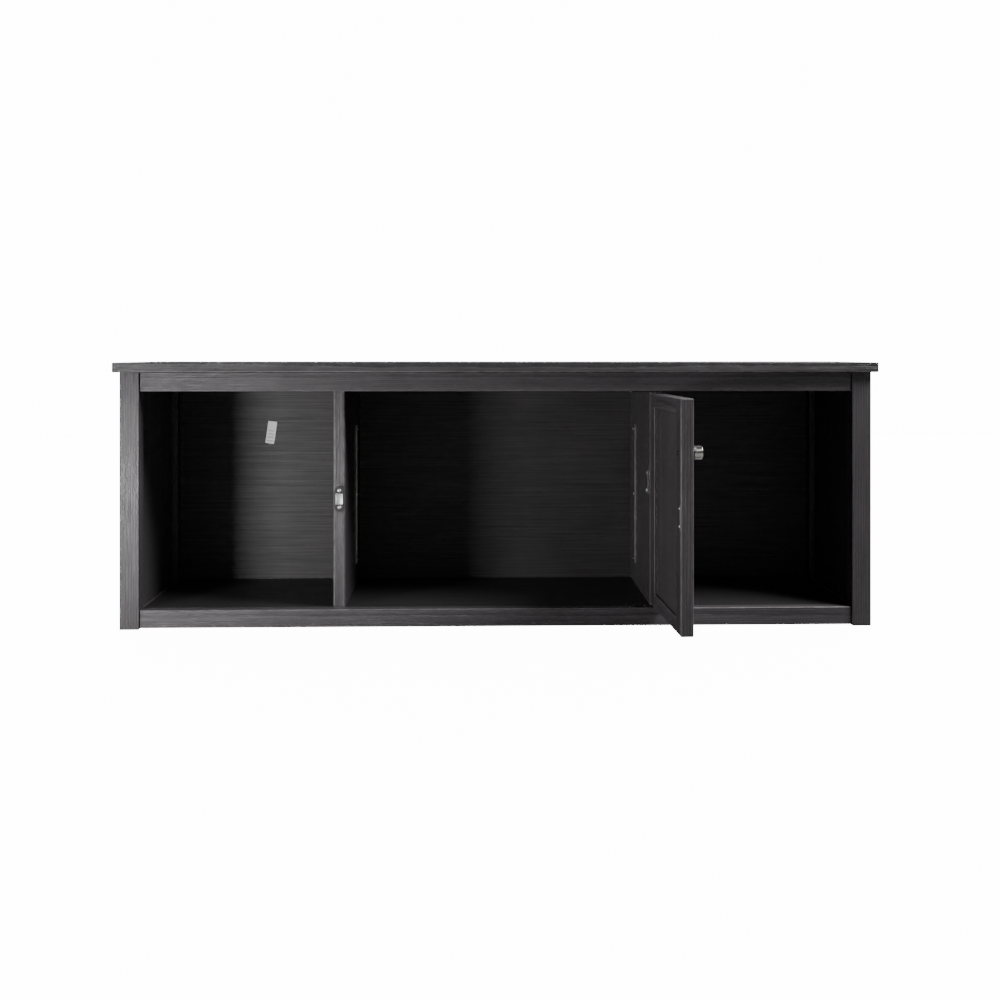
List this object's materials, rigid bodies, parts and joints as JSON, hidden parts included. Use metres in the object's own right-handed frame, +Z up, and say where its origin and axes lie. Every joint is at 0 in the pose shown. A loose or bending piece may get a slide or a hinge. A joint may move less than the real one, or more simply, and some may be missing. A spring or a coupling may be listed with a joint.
{
  "type": "media cabinet",
  "caption": "Low wide media cabinet with corner posts, open bays between dividers, and an inset frame-and-panel door leaf on pivot hinges.",
  "frame": {"origin": "on the floor, at the centre of the outline with the door at its rest angle", "axes": "+X to the right seen from the front, +Y towards the back, +Z up"},
  "size_m": [1.524, 0.6858, 0.53],
  "materials": {
    "stained_wood": "satin black stain over visible grain",
    "stained_panel": "satin black stain over visible grain",
    "bare_pine": "sawn, unfinished",
    "beech": "turned, unfinished",
    "nickel": "satin nickel plate",
    "zinc": "bright zinc plate",
    "black_steel": "blackened steel",
    "catch_plastic": "moulded, dark brown",
    "nylon": "moulded, natural",
    "paper": "uncoated paper label"
  },
  "bodies": {
    "carcass": {"top_panel": "stained_wood", "post_front_left": "stained_wood", "post_front_right": "stained_wood", "post_rear_left": "stained_wood", "post_rear_right": "stained_wood", "front_rail_top": "stained_wood", "front_rail_bottom": "stained_wood", "rear_rail_top": "stained_wood", "rear_rail_bottom": "stained_wood", "side_rail_top_left": "stained_wood", "side_rail_top_right": "stained_wood", "side_rail_bottom_left": "stained_wood", "side_rail_bottom_right": "stained_wood", "side_panel_left": "stained_panel", "side_panel_right": "stained_panel", "divider_left": "stained_wood", "divider_right": "stained_wood", "floor_panel": "stained_panel", "back_panel": "stained_panel", "top_cleat_left": "bare_pine", "top_cleat_right": "bare_pine", "divider_cleat_left": "bare_pine", "divider_cleat_right": "bare_pine", "floor_cleat_left": "bare_pine", "floor_cleat_right": "bare_pine", "floor_cleat_front": "bare_pine", "floor_bearer_left": "bare_pine", "floor_bearer_right": "bare_pine", "frame_dowels": "beech", "cleat_screws": "zinc", "floor_screws": "zinc", "bearer_screws": "zinc", "back_panel_screws": "zinc", "shelf_standard_left": "nickel", "shelf_standard_right": "nickel", "shelf_standard_nails": "zinc", "catch_body": "catch_plastic", "catch_magnet": "nickel", "catch_screws": "zinc", "side_plate": "nickel", "side_plate_screws": "zinc", "paper_label": "paper", "hinge_frame_leaf_top": "black_steel", "hinge_frame_leaf_bottom": "black_steel", "hinge_pins": "nickel", "hinge_washers": "nylon", "hinge_frame_screws": "zinc"},
    "door": {"hinge_door_leaf_top": "black_steel", "hinge_door_leaf_bottom": "black_steel", "hinge_door_screws": "zinc", "door_stile_hinge": "stained_wood", "door_stile_free": "stained_wood", "door_rail_top": "stained_wood", "door_rail_bottom": "stained_wood", "door_panel": "stained_panel", "knob": "nickel", "knob_screw": "black_steel", "strike_plate": "nickel", "strike_screws": "zinc"}
  },
  "joints": [
    {"name": "door_hinge", "type": "hinge", "parent": "carcass", "child": "door", "pos_m": [0.32, -0.02414, 0.255], "axis": [0, 0, 1], "range_deg": [-92, 18]}
  ]
}
